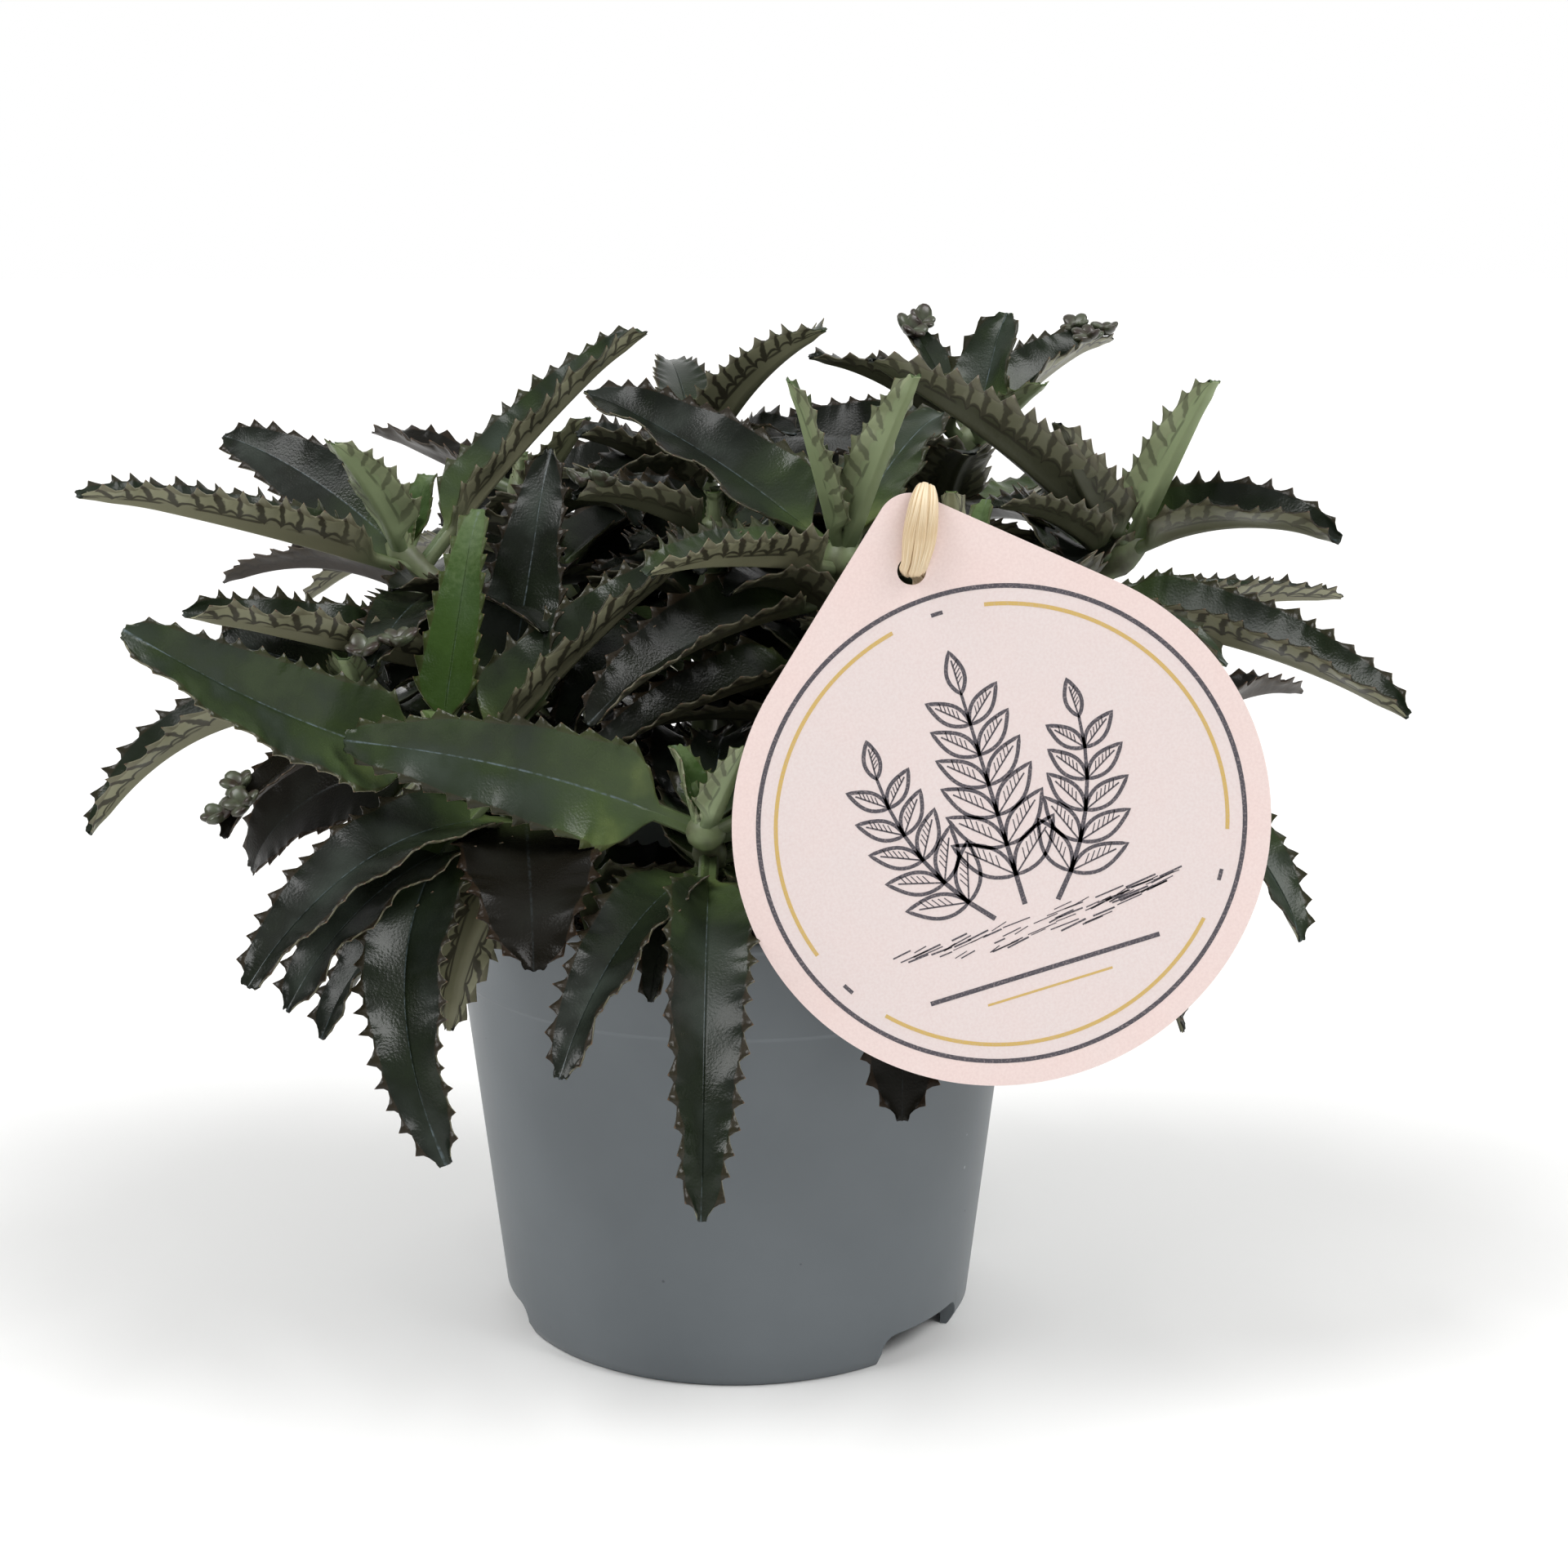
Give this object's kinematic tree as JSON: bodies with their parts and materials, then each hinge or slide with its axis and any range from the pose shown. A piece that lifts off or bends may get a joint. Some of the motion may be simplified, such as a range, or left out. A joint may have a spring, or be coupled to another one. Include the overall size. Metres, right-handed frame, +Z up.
{
  "type": "potted mother of thousands succulent",
  "caption": "Succulent with long toothed, trough-shaped leaves on a clump of stems, growing in soil in a round nursery pot, with a drop-shaped card label on a raffia tie.",
  "frame": {"origin": "centre of the pot's foot, on the surface that the pot stands on", "axes": "+X to the right as the label faces the viewer, -Y towards the viewer in front of the label, +Z up"},
  "size_m": [0.2691, 0.2195, 0.2162],
  "materials": {
    "pot": "satin",
    "soil": "matte",
    "leaf": "satin",
    "card": "matte",
    "raffia": "matte"
  },
  "bodies": {
    "root": {"pot": "pot", "soil": "soil", "leafy_stem_front_left": "leaf", "leafy_stem_front": "leaf", "leafy_stem_front_right": "leaf", "leafy_stem_left": "leaf", "leafy_stem_left_low": "leaf", "leafy_stem_centre": "leaf", "leafy_stem_mid_right": "leaf", "leafy_stem_right": "leaf", "leafy_stem_right_low": "leaf", "leafy_stem_back_right": "leaf", "leafy_stem_back": "leaf", "leafy_stem_back_left": "leaf", "label_card": "card", "raffia_tie": "raffia"}
  },
  "joints": []
}
